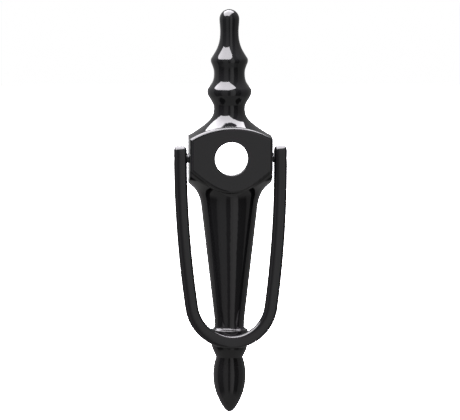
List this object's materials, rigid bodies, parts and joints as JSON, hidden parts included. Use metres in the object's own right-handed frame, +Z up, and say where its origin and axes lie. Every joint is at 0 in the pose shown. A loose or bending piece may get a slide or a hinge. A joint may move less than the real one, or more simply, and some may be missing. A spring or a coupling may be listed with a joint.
{
  "type": "door knocker",
  "caption": "Tall turned urn door knocker with a flat boss round a viewer hole and a U-shaped swinging ring, fixed from behind.",
  "frame": {"origin": "where the viewer hole's axis meets the back face, level with the pivot axis", "axes": "+Z up along the door, +Y into the door, +X to the right seen from in front"},
  "size_m": [0.0548, 0.0178, 0.1965],
  "materials": {
    "black_enamel": "gloss black stoved enamel over zinc die casting",
    "insert_brass": "turned brass, lightly dulled",
    "pin_steel": "ground stainless steel pin",
    "stud_steel": "nickel-plated steel stud, knock-worn crown",
    "black_acetal": "moulded black acetal, satin"
  },
  "bodies": {
    "casting": {"body_casting": "black_enamel", "upper_fixing_insert": "insert_brass", "lower_fixing_insert": "insert_brass", "pivot_pin_right": "pin_steel", "pivot_pin_left": "pin_steel", "spacer_washer_right": "black_acetal", "spacer_washer_left": "black_acetal", "strike_stud": "stud_steel"},
    "ring": {"knocker_ring": "black_enamel", "pivot_bush_right": "black_acetal", "pivot_bush_left": "black_acetal", "hammer_stud": "stud_steel"}
  },
  "joints": [
    {"name": "ring_swing", "type": "hinge", "parent": "casting", "child": "ring", "pos_m": [0, -0.008, 0], "axis": [-1, 0, 0], "range_deg": [0, 178]}
  ]
}
